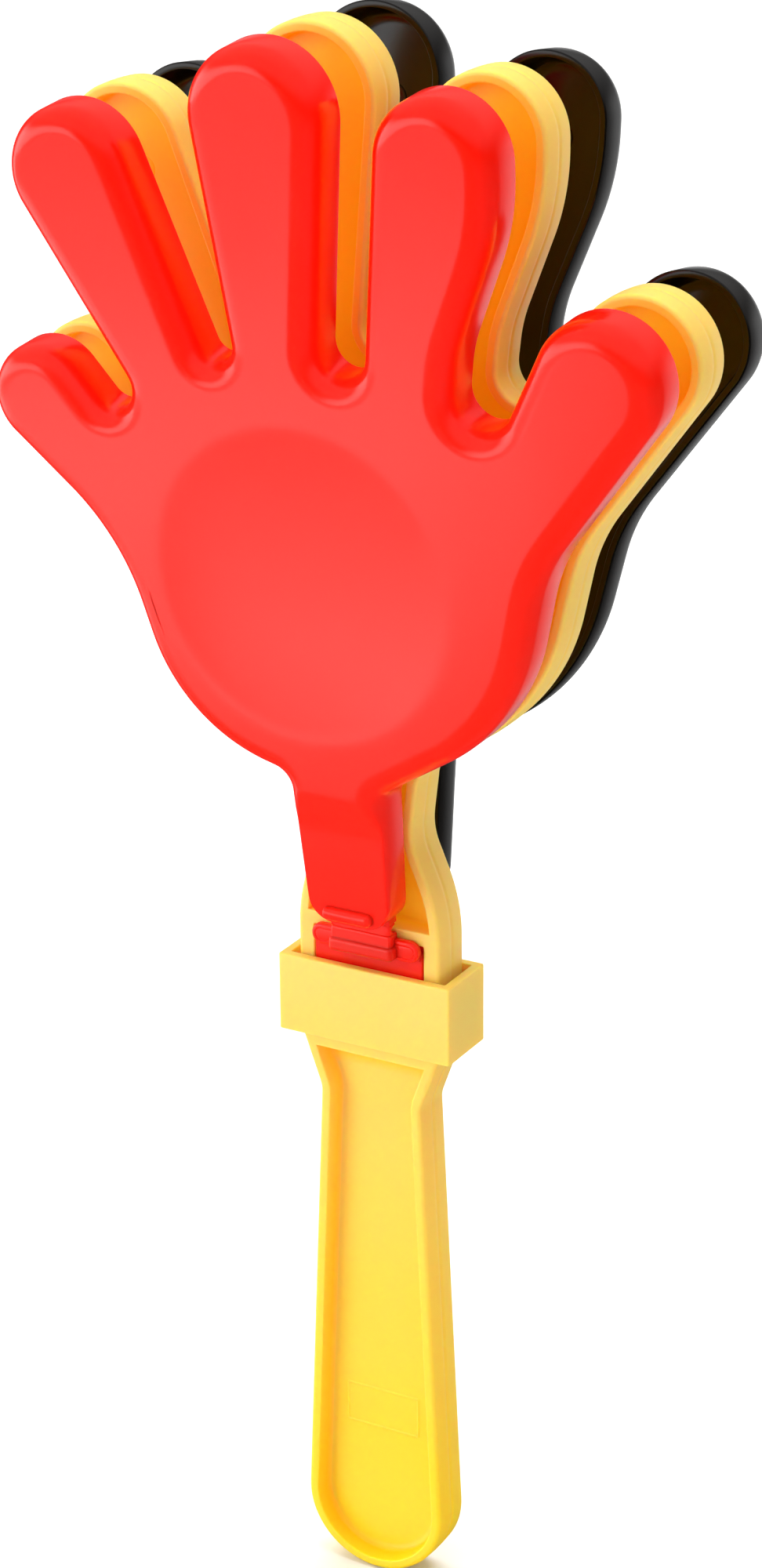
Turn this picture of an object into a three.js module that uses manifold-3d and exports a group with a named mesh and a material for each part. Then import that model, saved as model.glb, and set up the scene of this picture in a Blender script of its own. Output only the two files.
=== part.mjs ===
// A hand clapper: a middle hand moulded in one with its handle, two outer hands that swing on
// moulded-in hinges, and a collar that slides up over the tabs of both outer hands.
// Millimetres, +Z up. The thumbs point to +X and the front hand is at -Y.
// The origin is the centre of the grip, in the mid-plane of the handle.

import * as THREE from "three";
import { mergeVertices } from "three/addons/utils/BufferGeometryUtils.js";
import Module from "manifold-3d";

const wasm = await Module();
wasm.setup();

// Heights above the grip's centre: the hinges set all of those above the grip
const hingeHeight = 75.8; // fold line of both living hinges
const palmAboveHinge = 61.2;
const neckAboveHinge = 25.6; // fillets between the neck and the palm
const waistAboveHinge = 17.7; // hollow curve between the neck and the shoulders
const neckEndAboveHinge = 1.1; // lower end of an outer hand's neck
const pocketBelowHinge = 2.8; // upper end of the pockets that take the tabs
const shoulderBelowHinge = 3.1;
const stopBelowHinge = 5.7; // lower edge of the bar that stops the collar

// Middle moulding: hand, neck, frame and grip
const thickness = 8.6; // over the rims of both sides
const rimWall = 2.1; // width of the rim that runs round the outline
const web = 1.2; // sheet in the mid-plane
const floorFillet = 0.8; // between a rim and the web
const pocketCorner = 1.2; // corner radius of the pockets seen from the front
const rimDraft = 0.2; // how far a pocket narrows from its mouth to the web
const partingDraft = 0.2; // how far the outer walls stand out at the parting line
const edgeChamfer = 0.5; // on the outer edges of the rims

// Hand outline, the same on all three hands: circles joined by their common tangents.
// x is towards the thumb, up is above the palm's centre, r is negative round a notch.
const thumbSide = { x: 1.3, up: 4.5, r: 36.1 };
const thumbRoot = { x: 65.2, up: -1.5, r: -27.6 };
const thumbTip = { x: 48.8, up: 42.1, r: 11.3 };
const thumbNotch = { x: 29.1, up: 37.8, r: -4.7 };
const indexTip = { x: 22.1, up: 74.3, r: 11.1 };
const indexNotch = { x: 4.1, up: 42.3, r: -4.0 };
const middleTip = { x: -9.4, up: 78.2, r: 12.4 };
const middleNotch = { x: -19.2, up: 41.0, r: -2.9 };
const ringTip = { x: -44.6, up: 66.2, r: 11.4 };
const ringNotch = { x: -39.6, up: 31.1, r: -3.6 };
const littleTip = { x: -53.5, up: 27.4, r: 9.3 };
const littleRoot = { x: -73.4, up: -17.5, r: -38.0 };
const littleSide = { x: -6.4, up: -2.6, r: 30.4 };
const neckHalfWidth = 9.7;
const neckFillet = 3.2;

// Frame and grip
const frameHalfWidth = 14.0;
const shoulderRadius = 31.1; // the long curve that widens the neck into the frame
const waistRadius = 11.3;
const waistHalfWidth = 8.8;
const frameFootRadius = 8.0; // where the frame starts to narrow to the grip
const slopeHeight = 13.0; // from there to the grip's narrow end
const gripHalfWidth = 10.1; // at its narrow upper end
const gripTopRadius = 5.0;
const gripEndRadius = 13.8;
const gripEnd = -38.7; // centre of the round lower end
const labelHalfWidth = 7.3; // plain raised field low in each hollow of the grip
const labelHeight = 8.0;
const labelCentre = -21.2;
const labelOut = 0.15;

// Pockets for the tabs of the outer hands
const frameWall = 3.3; // beside a pocket
const pocketHeight = 20.0;
const footAbovePocket = 1.5; // from a pocket's lower end to where the frame narrows
const crossbar = 2.4; // rib above a pocket
const tabRib = 3.0; // rib between a pocket and the hollow of the grip

// Outer hands
const shellDepth = 9.0;
const shellWall = 1.5;
const shellDraft = 0.3; // how far the walls lean in from the rim to the fillet
const shellFillet = 4.5; // round the edge of the outer face
const dish = { x: -4.3, up: 2.4, r: 27.2 }; // shallow hollow in the palm
const dishDepth = 1.6;
const outerNeckRight = 8.3; // from the mid-line to the right side, at the top of the neck
const outerNeckLeft = 9.8;
const neckEndHalfWidth = 8.2;
const neckEndRadius = 5.2; // corners of the neck's lower end
const neckDrop = 2.2; // how far the neck's face lies below the palm's
const neckSlopeStart = 20.0; // above the hinge, where the neck's face starts to slope up
const neckSlopeHeight = 6.5;
const frontSplay = 4.2; // degrees that each outer hand stands open at rest
const rearSplay = 4.9;

// Hinges and tabs
const strapHalfWidth = 5.8;
const strapOut = 2.8; // how far the strap's face stands out from the frame's face
const strapGroove = 1.8; // height of the thinned stretch that bends
const hingeWeb = 0.7; // thickness of that stretch
const lipHalfWidth = 4.7; // upper bar, on the end of the neck
const lipHeight = 2.2;
const lipAboveHinge = 2.4;
const lipOut = 0.7; // how far it stands out from the neck's outer face
const stepHalfWidth = 6.25; // lower bar, on the knuckle
const stepHeight = 2.55;
const stepOut = 0.35; // how far it stands out from the knuckle's face
const stopOut = 1.4; // stop bar with two ears, which the collar comes up against
const stopHeight = 3.8;
const plateCorner = 2.3; // rounded top corners of a tab's face plate
const plateStep = 1.0; // from the face plate down to the tab's base
const barCorner = 0.5; // corners of the bars
const smallCorner = 0.3; // corners of everything smaller

// Locking collar
const collarHeight = 14.3;
const collarPlay = 3.0; // from the collar up to the stop bars
const collarWall = 1.6;

// Clearances
const gap = 0.3; // between pieces that lie against each other
const collarSideGap = 1.05;
const collarFaceGap = 0.475;
const bite = 0.1; // how far joined solids run into each other

// Facets
const chordError = 0.12; // largest distance between a facet and its arc
const filletSteps = 3;
const samePoint = 1e-3; // points of an outline closer than this are one

const TURN = 2 * Math.PI;
const faceDepth = thickness / 2; // from the mid-plane to the face of a rim
const overshoot = 1; // how far a cutting solid runs past the face that it opens
const palmHeight = hingeHeight + palmAboveHinge;
const pocketHalfWidth = frameHalfWidth - frameWall;
const pocketTop = hingeHeight - pocketBelowHinge;
const pocketBottom = pocketTop - pocketHeight;
const frameFoot = pocketBottom + footAbovePocket;
const stopBottom = hingeHeight - stopBelowHinge;

// Outlines

// A closed outline of circles joined by their common tangents. It runs anticlockwise with the
// material on its left, round the outside of a circle with a positive radius and round the
// inside of a notch with a negative one. An inset moves the whole outline inwards, which
// shortens every radius by the same amount and leaves every direction as it was.
function tangentOutline(circles, inset = 0) {
  const count = circles.length;
  const leaving = circles.map((from, i) => {
    const to = circles[(i + 1) % count];
    const [dx, dz] = [to.x - from.x, to.z - from.z];
    const lean = THREE.MathUtils.clamp((to.r - from.r) / Math.hypot(dx, dz), -1, 1);
    return Math.atan2(dz, dx) + Math.acos(lean);
  });
  const points = [];
  circles.forEach((circle, i) => {
    const start = leaving[(i + count - 1) % count];
    const least = circle.r > 0 ? -TURN / 6 : TURN / 6 - TURN;
    const turn = THREE.MathUtils.euclideanModulo(leaving[i] - start - least, TURN) + least;
    const step = Math.sqrt((8 * chordError) / Math.abs(circle.r));
    const steps = Math.max(1, Math.ceil(Math.abs(turn) / step));
    for (let k = 0; k <= steps; k++) {
      const angle = start + (turn * k) / steps;
      const reach = inset - circle.r;
      const point = new THREE.Vector2(
        circle.x + reach * Math.cos(angle),
        circle.z + reach * Math.sin(angle),
      );
      if (!points.length || points.at(-1).distanceTo(point) > samePoint) points.push(point);
    }
  });
  if (points.at(-1).distanceTo(points[0]) < samePoint) points.pop();
  return points;
}

const mirrored = ({ x, z, r }) => ({ x: -x, z, r });

// The hand's own circles, from the right of the neck over the fingers to the left of it.
function handCircles(neckRight = neckHalfWidth, neckLeft = neckHalfWidth) {
  const place = ({ x, up, r }) => ({ x, z: palmHeight + up, r });
  const thumb = [thumbSide, thumbRoot, thumbTip, thumbNotch];
  const inner = [indexTip, indexNotch, middleTip, middleNotch, ringTip, ringNotch];
  const little = [littleTip, littleRoot, littleSide];
  const neck = (x) => ({ x, z: hingeHeight + neckAboveHinge, r: -neckFillet });
  const right = neck(neckRight + neckFillet);
  return [right, ...[...thumb, ...inner, ...little].map(place), neck(-neckLeft - neckFillet)];
}

// The circles of the middle moulding's left side below the neck, from the top down.
const waistX = -waistHalfWidth - waistRadius;
const waist = { x: waistX, z: hingeHeight + waistAboveHinge, r: -waistRadius };
const shoulderX = shoulderRadius - frameHalfWidth;
const shoulder = { x: shoulderX, z: hingeHeight - shoulderBelowHinge, r: shoulderRadius };
const foot = { x: frameFootRadius - frameHalfWidth, z: frameFoot, r: frameFootRadius };
const gripStart = { x: -gripHalfWidth - gripTopRadius, z: frameFoot - slopeHeight, r: -gripTopRadius };
const gripTip = { x: 0, z: gripEnd, r: gripEndRadius };

function middleCircles() {
  const left = [waist, shoulder, foot, gripStart];
  return [...handCircles(), ...left, gripTip, ...left.map(mirrored).reverse()];
}

// The hollow of the middle hand: the rim's inner edge, closed by the crossbar at the bottom.
function handPocketCircles() {
  const inner = ({ x, z, r }) => ({ x, z, r: r - rimWall });
  const z = pocketTop + crossbar + pocketCorner;
  const reach = shoulder.r - rimWall - pocketCorner;
  const x = shoulder.x - Math.sqrt(reach ** 2 - (z - shoulder.z) ** 2);
  const corner = { x, z, r: pocketCorner };
  return [
    ...handCircles().map(inner),
    inner(waist),
    inner(shoulder),
    corner,
    mirrored(corner),
    mirrored(inner(shoulder)),
    mirrored(inner(waist)),
  ];
}

// The hollow of the grip, which starts on the slope between the frame and the grip.
function trayCircles() {
  const inner = ({ x, z, r }) => ({ x, z, r: r - rimWall });
  const across = gripStart.x - foot.x;
  const down = gripStart.z - foot.z;
  const lean = Math.atan2(down, across) + Math.acos((gripStart.r - foot.r) / Math.hypot(across, down));
  const z = pocketBottom - tabRib - pocketCorner;
  const wallReach = foot.r - rimWall - pocketCorner;
  const x = foot.x - (wallReach + (z - foot.z) * Math.sin(lean)) / Math.cos(lean);
  const corner = { x, z, r: pocketCorner };
  return [mirrored(corner), corner, inner(gripStart), inner(gripTip), mirrored(inner(gripStart))];
}

function boxCircles(halfWidth, bottom, top, bottomRadius, topRadius = bottomRadius) {
  const low = { x: -halfWidth + bottomRadius, z: bottom + bottomRadius, r: bottomRadius };
  const high = { x: -halfWidth + topRadius, z: top - topRadius, r: topRadius };
  return [low, mirrored(low), mirrored(high), high];
}

// Solids

// A closed body with one outline at several depths. Its rings run from front to back, each
// with the inset of its outline and its place along Y.
function loft(circles, rings) {
  const outlines = rings.map(({ inset }) => tangentOutline(circles, inset));
  const count = outlines[0].length;
  const positions = outlines.flatMap((outline, k) => outline.flatMap((p) => [p.x, rings[k].y, p.y]));
  const index = [];
  for (let ring = 0; ring + 1 < rings.length; ring++)
    for (let i = 0; i < count; i++) {
      const a = ring * count + i;
      const b = ring * count + ((i + 1) % count);
      index.push(a, b + count, b, a, a + count, b + count);
    }
  const last = (rings.length - 1) * count;
  for (const [a, b, c] of THREE.ShapeUtils.triangulateShape(outlines[0], [])) index.push(a, b, c);
  for (const [a, b, c] of THREE.ShapeUtils.triangulateShape(outlines.at(-1), []))
    index.push(last + a, last + c, last + b);
  return new THREE.BufferGeometry()
    .setAttribute("position", new THREE.Float32BufferAttribute(positions, 3))
    .setIndex(index);
}

const slab = (circles, front, back) =>
  loft(circles, [
    { inset: 0, y: front },
    { inset: 0, y: back },
  ]);

// Rings round a fillet that turns from a wall at wallInset into a face at faceY.
function filletRings(wallInset, faceY, radius, steps) {
  return Array.from({ length: steps + 1 }, (_, k) => {
    const angle = (k / steps) * (TURN / 4);
    const inset = wallInset + radius * (1 - Math.cos(angle));
    return { inset, y: faceY - radius * (1 - Math.sin(angle)) };
  });
}

// The same body on the other side of the mid-plane.
function acrossMidPlane(geometry) {
  const other = geometry.clone().scale(1, -1, 1);
  const index = Array.from(other.index.array);
  for (let i = 0; i < index.length; i += 3)
    [index[i + 1], index[i + 2]] = [index[i + 2], index[i + 1]];
  return other.setIndex(index);
}

function solid(geometry) {
  const bare = geometry.clone();
  for (const name of ["normal", "uv"]) bare.deleteAttribute(name);
  const merged = mergeVertices(bare, 1e-4);
  return new wasm.Manifold(
    new wasm.Mesh({
      numProp: 3,
      vertProperties: merged.attributes.position.array,
      triVerts: new Uint32Array(merged.index.array),
    }),
  );
}

function geometryOf(body) {
  const made = body.getMesh();
  return new THREE.BufferGeometry()
    .setAttribute("position", new THREE.BufferAttribute(made.vertProperties, 3))
    .setIndex(new THREE.BufferAttribute(made.triVerts, 1));
}

const joined = (geometries) => geometries.map(solid).reduce((sum, next) => sum.add(next));

// Pieces, each made for the rear of the clapper, where outwards is +Y

// A pocket cut into the middle moulding from its rear face down to the web.
function pocketCutter(circles) {
  const floor = web / 2;
  const fillet = filletRings(rimDraft, -floor, floorFillet, filletSteps);
  const wall = fillet.map(({ inset, y }) => ({ inset, y: -y })).reverse();
  const slope = rimDraft / (faceDepth - floor - floorFillet);
  return loft(circles, [...wall, { inset: -slope * overshoot, y: faceDepth + overshoot }]);
}

function middleMoulding() {
  const body = loft(middleCircles(), [
    { inset: partingDraft + edgeChamfer, y: -faceDepth },
    { inset: partingDraft, y: edgeChamfer - faceDepth },
    { inset: 0, y: 0 },
    { inset: partingDraft, y: faceDepth - edgeChamfer },
    { inset: partingDraft + edgeChamfer, y: faceDepth },
  ]);
  const tabPocket = boxCircles(pocketHalfWidth, pocketBottom, pocketTop, smallCorner);
  const cutters = [
    pocketCutter(handPocketCircles()),
    pocketCutter(trayCircles()),
    slab(tabPocket, web / 2, faceDepth + overshoot),
  ];
  const cut = (left, cutter) => left.subtract(solid(cutter)).subtract(solid(acrossMidPlane(cutter)));
  const labelBottom = labelCentre - labelHeight / 2;
  const label = boxCircles(labelHalfWidth, labelBottom, labelBottom + labelHeight, barCorner);
  const labels = slab(label, -web / 2 - labelOut, web / 2 + labelOut);
  return geometryOf(cutters.reduce(cut, solid(body)).add(solid(labels)));
}

// The lens that dishes the palm: a cap of a sphere below the face at depth, and a disc above it.
function dishCutter(depth) {
  const radius = (dish.r ** 2 + dishDepth ** 2) / (2 * dishDepth);
  const reach = Math.asin(dish.r / radius);
  const steps = Math.ceil(reach / Math.sqrt((8 * chordError) / radius)) + 1;
  const profile = [];
  for (let k = 0; k <= steps; k++) {
    const angle = (reach * k) / steps;
    const down = radius * Math.cos(angle) - (radius - dishDepth);
    profile.push(new THREE.Vector2(radius * Math.sin(angle), depth - down));
  }
  profile.push(new THREE.Vector2(dish.r, depth + overshoot));
  profile.push(new THREE.Vector2(0, depth + overshoot));
  const around = Math.ceil(TURN / Math.sqrt((8 * chordError) / dish.r));
  return new THREE.LatheGeometry(profile, around).translate(dish.x, 0, palmHeight + dish.up);
}

// The wedge above the neck's outer face, which slopes up to the palm's face at depth.
function neckCutter(depth) {
  const slopeStart = hingeHeight + neckSlopeStart;
  const rise = neckDrop + overshoot;
  const side = [
    new THREE.Vector2(hingeHeight - overshoot, depth - neckDrop),
    new THREE.Vector2(slopeStart, depth - neckDrop),
    new THREE.Vector2(slopeStart + (neckSlopeHeight * rise) / neckDrop, depth + overshoot),
    new THREE.Vector2(hingeHeight - overshoot, depth + overshoot),
  ];
  const across = 4 * outerNeckLeft;
  const wedge = new THREE.ExtrudeGeometry(new THREE.Shape(side), { depth: across, bevelEnabled: false });
  return wedge.translate(0, 0, -across / 2).rotateY(-TURN / 4);
}

// An outer hand, closed against the middle one. Its rim lies a gap away from the middle rim.
function outerHand() {
  const rim = faceDepth + gap;
  const face = rim + shellDepth;
  const neckEnd = hingeHeight + neckEndAboveHinge;
  const corner = { x: neckEndRadius - neckEndHalfWidth, z: neckEnd + neckEndRadius, r: neckEndRadius };
  const circles = [...handCircles(outerNeckRight, outerNeckLeft), corner, mirrored(corner)];
  const outer = filletRings(shellDraft, face, shellFillet, filletSteps);
  const innerFillet = shellFillet - shellWall;
  const inner = filletRings(shellDraft + shellWall, face - shellWall, innerFillet, filletSteps - 1);
  const lean = shellDraft / (shellDepth - shellFillet);
  const outside = loft(circles, [{ inset: 0, y: rim }, ...outer]);
  const inside = loft(circles, [{ inset: shellWall - lean * overshoot, y: rim - overshoot }, ...inner]);
  const lowered = (body, depth) =>
    solid(body).subtract(solid(dishCutter(depth))).subtract(solid(neckCutter(depth)));
  const shell = lowered(outside, face).subtract(lowered(inside, face - shellWall));
  const lipBottom = hingeHeight + lipAboveHinge;
  const lipRoot = face - shellFillet;
  const lip = boxCircles(lipHalfWidth, lipBottom, lipBottom + lipHeight, barCorner);
  const strapBottom = hingeHeight + strapGroove / 2;
  const strap = boxCircles(strapHalfWidth, strapBottom, neckEnd + shellWall - bite, smallCorner);
  const ends = joined([
    slab(lip, lipRoot, face - neckDrop + lipOut),
    slab(strap, rim + bite, faceDepth + strapOut),
  ]);
  return geometryOf(shell.add(ends.subtract(solid(inside))));
}

// The thin stretch of strap between the neck and the knuckle that bends.
function livingHinge() {
  const bottom = hingeHeight - strapGroove / 2 + gap;
  const outline = boxCircles(strapHalfWidth, bottom, bottom + strapGroove - 2 * gap, smallCorner);
  const face = faceDepth + strapOut;
  return slab(outline, face - hingeWeb, face);
}

// A tab: its base fills the pocket, the face plate is flush with the frame, and the stop bar,
// the knuckle and the lower bar stand out from it.
function hingeTab() {
  const halfWidth = pocketHalfWidth - gap;
  const top = pocketTop - gap;
  const bottom = pocketBottom + gap;
  const stopTop = stopBottom + stopHeight;
  const knuckleTop = hingeHeight - strapGroove / 2;
  const base = boxCircles(halfWidth, bottom, top, smallCorner);
  const plate = boxCircles(halfWidth, bottom, top, smallCorner, plateCorner);
  const stopRoot = boxCircles(halfWidth - gap, stopBottom, top, smallCorner);
  const stop = boxCircles(halfWidth, stopBottom, stopTop, stopHeight / 2 - bite);
  const knuckle = boxCircles(strapHalfWidth, stopBottom, knuckleTop, smallCorner);
  const step = boxCircles(stepHalfWidth, stopBottom, stopBottom + stepHeight, barCorner);
  const clear = faceDepth + gap;
  return geometryOf(
    joined([
      slab(base, web / 2 + gap, faceDepth - plateStep),
      slab(plate, faceDepth - plateStep - bite, faceDepth),
      slab(stopRoot, faceDepth - bite, clear + bite),
      slab(stop, clear, faceDepth + stopOut),
      slab(knuckle, clear, faceDepth + strapOut),
      slab(step, clear, faceDepth + strapOut + stepOut),
    ]),
  );
}

function lockingCollar() {
  const halfWidth = frameHalfWidth + collarSideGap;
  const halfDepth = faceDepth + collarFaceGap;
  const outer = new THREE.BoxGeometry(
    2 * (halfWidth + collarWall),
    2 * (halfDepth + collarWall),
    collarHeight,
  );
  const bore = new THREE.BoxGeometry(2 * halfWidth, 2 * halfDepth, collarHeight + 2 * overshoot);
  const centre = stopBottom - collarPlay - collarHeight / 2;
  return geometryOf(solid(outer).subtract(solid(bore))).translate(0, 0, centre);
}

// Assembly

const plastic = (color, roughness) => new THREE.MeshStandardMaterial({ color, roughness, metalness: 0 });
const yellow = plastic(0xf7d468, 0.42);
const red = plastic(0xf73a2c, 0.25);
const black = plastic(0x15110f, 0.22);

function part(name, geometry, material) {
  const mesh = new THREE.Mesh(geometry, material.clone());
  mesh.name = name;
  return mesh;
}

// A group that turns about a hinge's axis, for pieces given in the clapper's own frame.
function swung(mesh, side, degrees) {
  const pivot = new THREE.Group();
  const axis = faceDepth + strapOut - hingeWeb / 2;
  pivot.position.set(0, side * axis, hingeHeight);
  pivot.rotation.x = -side * THREE.MathUtils.degToRad(degrees);
  mesh.position.set(0, -side * axis, -hingeHeight);
  return pivot.add(mesh);
}

const clapper = new THREE.Group();
clapper.add(
  part("middle_hand_handle", middleMoulding(), yellow),
  swung(part("front_hand_shell", acrossMidPlane(outerHand()), red), -1, frontSplay),
  part("front_living_hinge", acrossMidPlane(livingHinge()), red),
  part("front_hinge_tab", acrossMidPlane(hingeTab()), red),
  swung(part("rear_hand_shell", outerHand(), black), 1, rearSplay),
  part("rear_living_hinge", livingHinge(), black),
  part("rear_hinge_tab", hingeTab(), black),
  part("locking_collar", lockingCollar(), yellow),
);

export default clapper;
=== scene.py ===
import math

import bmesh
import bpy
import numpy as np
from mathutils import Matrix, Vector
from mathutils.geometry import tessellate_polygon


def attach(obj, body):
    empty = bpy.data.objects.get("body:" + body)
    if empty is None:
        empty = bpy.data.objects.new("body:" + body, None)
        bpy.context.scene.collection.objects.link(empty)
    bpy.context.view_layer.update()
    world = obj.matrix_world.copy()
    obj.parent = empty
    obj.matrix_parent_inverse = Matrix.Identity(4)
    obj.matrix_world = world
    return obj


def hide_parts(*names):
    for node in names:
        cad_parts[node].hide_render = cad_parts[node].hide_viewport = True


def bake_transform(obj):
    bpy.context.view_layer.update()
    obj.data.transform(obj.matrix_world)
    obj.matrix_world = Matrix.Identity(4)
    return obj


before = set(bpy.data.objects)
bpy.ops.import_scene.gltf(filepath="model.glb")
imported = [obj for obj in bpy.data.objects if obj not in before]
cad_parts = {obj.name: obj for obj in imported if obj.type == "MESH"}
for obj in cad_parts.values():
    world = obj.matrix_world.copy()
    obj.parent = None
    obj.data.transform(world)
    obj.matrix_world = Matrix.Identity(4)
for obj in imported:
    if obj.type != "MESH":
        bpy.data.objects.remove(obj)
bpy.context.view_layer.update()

# Camera. A long lens, to the right of the clapper and above it, so that all three hands
# and the right flank of the handle show.

MM = 0.001
camera_place = np.array([302.0, -530.62, 339.46]) * MM
azimuth, elevation, roll = (math.radians(a) for a in (29.62, 21.49, -0.522))
focal_px, frame_height_px = 4973.18, 2000
sensor_mm = 36

ahead = Vector((
    -math.sin(azimuth) * math.cos(elevation),
    math.cos(azimuth) * math.cos(elevation),
    -math.sin(elevation),
))
level = Vector((math.cos(azimuth), math.sin(azimuth), 0))
upright = level.cross(ahead)
right = math.cos(roll) * level + math.sin(roll) * upright
up = math.cos(roll) * upright - math.sin(roll) * level

camera = bpy.data.objects.new("camera", bpy.data.cameras.new("camera"))
bpy.context.scene.collection.objects.link(camera)
camera.data.sensor_width = sensor_mm
camera.data.lens = sensor_mm * focal_px / frame_height_px
camera.data.clip_start, camera.data.clip_end = 0.05, 50
turn = Matrix((right, up, -ahead)).transposed().to_4x4()
camera.matrix_world = Matrix.Translation(Vector(camera_place)) @ turn
bpy.context.scene.camera = camera

# Front hand. A thin hollow shell of red polypropylene, injection moulded in one with its hinge
# and tab. Its open side faces the middle hand, and its outer face has a broad edge radius and a
# shallow dish in the palm.

# The hand's outline: circles (x, height, radius) in millimetres, joined by their common
# tangents, with the radius negative round the inside of a notch.
HINGE = 75.8  # the height of the line that the outer hands fold about
PALM = 137.0  # the height of the palm's middle
NECK_HALF_WIDTH, NECK_FILLET, NECK_TOP = 9.7, 3.2, 101.4
HAND = [
    (NECK_HALF_WIDTH + NECK_FILLET, NECK_TOP, -NECK_FILLET),
    (1.3, PALM + 4.5, 36.1),  # right of the palm
    (65.2, PALM - 1.5, -27.6),
    (48.8, PALM + 42.1, 11.3),  # thumb
    (29.1, PALM + 37.8, -4.7),
    (48.6, PALM + 38.4, -24.0),  # the slight waist of the next finger
    (-6.8, PALM + 72.6, 40.0),
    (22.1, PALM + 74.3, 11.1),
    (4.1, PALM + 42.3, -4.0),
    (-9.4, PALM + 78.2, 12.4),  # middle finger
    (-19.2, PALM + 41.0, -2.9),
    (-44.6, PALM + 66.2, 11.4),
    (-39.6, PALM + 31.1, -3.6),
    (-53.5, PALM + 27.4, 9.3),  # little finger
    (-73.4, PALM - 17.5, -38.0),
    (-6.4, PALM - 2.6, 30.4),  # left of the palm
    (-NECK_HALF_WIDTH - NECK_FILLET, NECK_TOP, -NECK_FILLET),
]
HAND_SPACING = 0.9  # between the points of an outline as large as a hand
PIN_MARKS = [  # where the mould's ejector pins push. The middle hand has the first four
    (46.6, PALM + 39.0),
    (21.0, PALM + 70.5),
    (-9.6, PALM + 74.0),
    (-43.2, PALM + 62.5),
    (-51.5, PALM + 26.2),
]
PIN_RADIUS = 2.4
PIN_GROOVE = np.array([  # beyond the pin's radius, out of the face
    (0.5, 0), (0.16, 0), (0.12, -0.06), (0.06, -0.12),
    (-0.02, -0.12), (-0.1, -0.03), (-0.18, 0), (-1.2, 0),
])

FACE_DEPTH = 4.3  # from the mid-plane to the rim of the middle hand
GAP = 0.3
RIM = FACE_DEPTH + GAP  # the open side of a closed outer hand
SHELL_DEPTH, SHELL_WALL, SHELL_FILLET, SHELL_DRAFT = 8.93, 1.5, 4.1, 0.5
MOUTH_INSET, MOUTH_RADIUS, MOUTH_INNER_RADIUS = 0.25, 0.25, 0.22
OUTER_NECK_RIGHT, OUTER_NECK_LEFT = 8.3, 9.8  # the neck leans towards the little finger
NECK_END, NECK_END_HALF_WIDTH, NECK_END_RADIUS = HINGE + 1.1, 8.2, 5.2
NECK_STEP_TOP, NECK_STEP_LENGTH, NECK_STEP_DEPTH = HINGE + 26.6, 6.8, 2.5
NECK_SLOPE_TOP, NECK_SLOPE = HINGE + 21.5, 0.014
NECK_BANDS = [*np.linspace(HINGE + 27, HINGE + 19, 17), HINGE + 10]  # close where it steps
DISH_X, DISH_HEIGHT, DISH_RADIUS, DISH_DEPTH = -4.3, PALM + 2.4, 27.2, 1.9
LIP_HALF_WIDTH, LIP_BOTTOM, LIP_TOP, LIP_RADIUS = 4.7, HINGE + 2.4, HINGE + 4.7, 1.0
LIP_BACK, LIP_FRONT, LIP_EDGE = RIM + 4.5, RIM + 7.5, 0.95
STRAP_HALF_WIDTH, STRAP_OUT, STRAP_GROOVE, WEB_THICKNESS = 5.8, 2.8, 1.8, 0.7
AXIS_OUT = FACE_DEPTH + STRAP_OUT - WEB_THICKNESS / 2
FRONT_SPLAY, REAR_SPLAY = 4.2, 4.9  # how far the outer hands stand open, in degrees
FAR = 9  # a point this far along a profile's side gives the side's direction


def outline(circles, spacing):
    """Points of a closed outline and their inward normals.

    Two neighbouring circles are joined by the line that touches both. Its outward direction is
    the direction from centre to centre, turned by the arc cosine of the difference of the
    radii over the distance. Moving every point inwards along its normal by one distance gives
    the outline's parallel curve, with every convex radius that much smaller. A radius of nought
    is a sharp corner, whose normal is the sum of its sides' normals over one plus their dot
    product.
    """
    largest_turn = 0.12  # radians from point to point of an arc
    centre = np.array([c[:2] for c in circles])
    radius = np.array([c[2] for c in circles])
    step = np.roll(centre, -1, 0) - centre
    length = np.hypot(*step.T)
    lean = np.clip((np.roll(radius, -1) - radius) / length, -1, 1)
    leaving = np.arctan2(step[:, 1], step[:, 0]) + np.arccos(lean)
    entering = np.roll(leaving, 1)
    least = np.where(radius > 0, -math.pi / 3, math.pi / 3 - math.tau)
    turned = np.mod(leaving - entering - least, math.tau) + least
    points, inward = [], []
    for i in range(len(circles)):
        by_length = math.ceil(abs(turned[i] * radius[i]) / spacing)
        by_angle = math.ceil(abs(turned[i]) / largest_turn)
        arc_steps = max(2, by_length, by_angle)
        angle = entering[i] + turned[i] * np.linspace(0, 1, arc_steps + 1)
        normal = np.c_[np.cos(angle), np.sin(angle)]
        if radius[i] == 0:
            normal = ((normal[0] + normal[-1]) / (1 + normal[0] @ normal[-1]))[None]
        points.append(centre[i] - radius[i] * normal)
        inward.append(normal)
        after = (i + 1) % len(circles)
        line_normal = np.array([math.cos(leaving[i]), math.sin(leaving[i])])
        start = centre[i] - radius[i] * line_normal
        end = centre[after] - radius[after] * line_normal
        line_steps = math.ceil(np.hypot(*(end - start)) / (2 * spacing))
        share = np.linspace(0, 1, line_steps + 1)[1:-1, None]
        points.append(start + share * (end - start))
        inward.append(np.repeat(line_normal[None], len(share), 0))
    points, inward = np.concatenate(points), np.concatenate(inward)
    apart = np.hypot(*(points - np.roll(points, 1, 0)).T) > 1e-4
    return points[apart], inward[apart]


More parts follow.
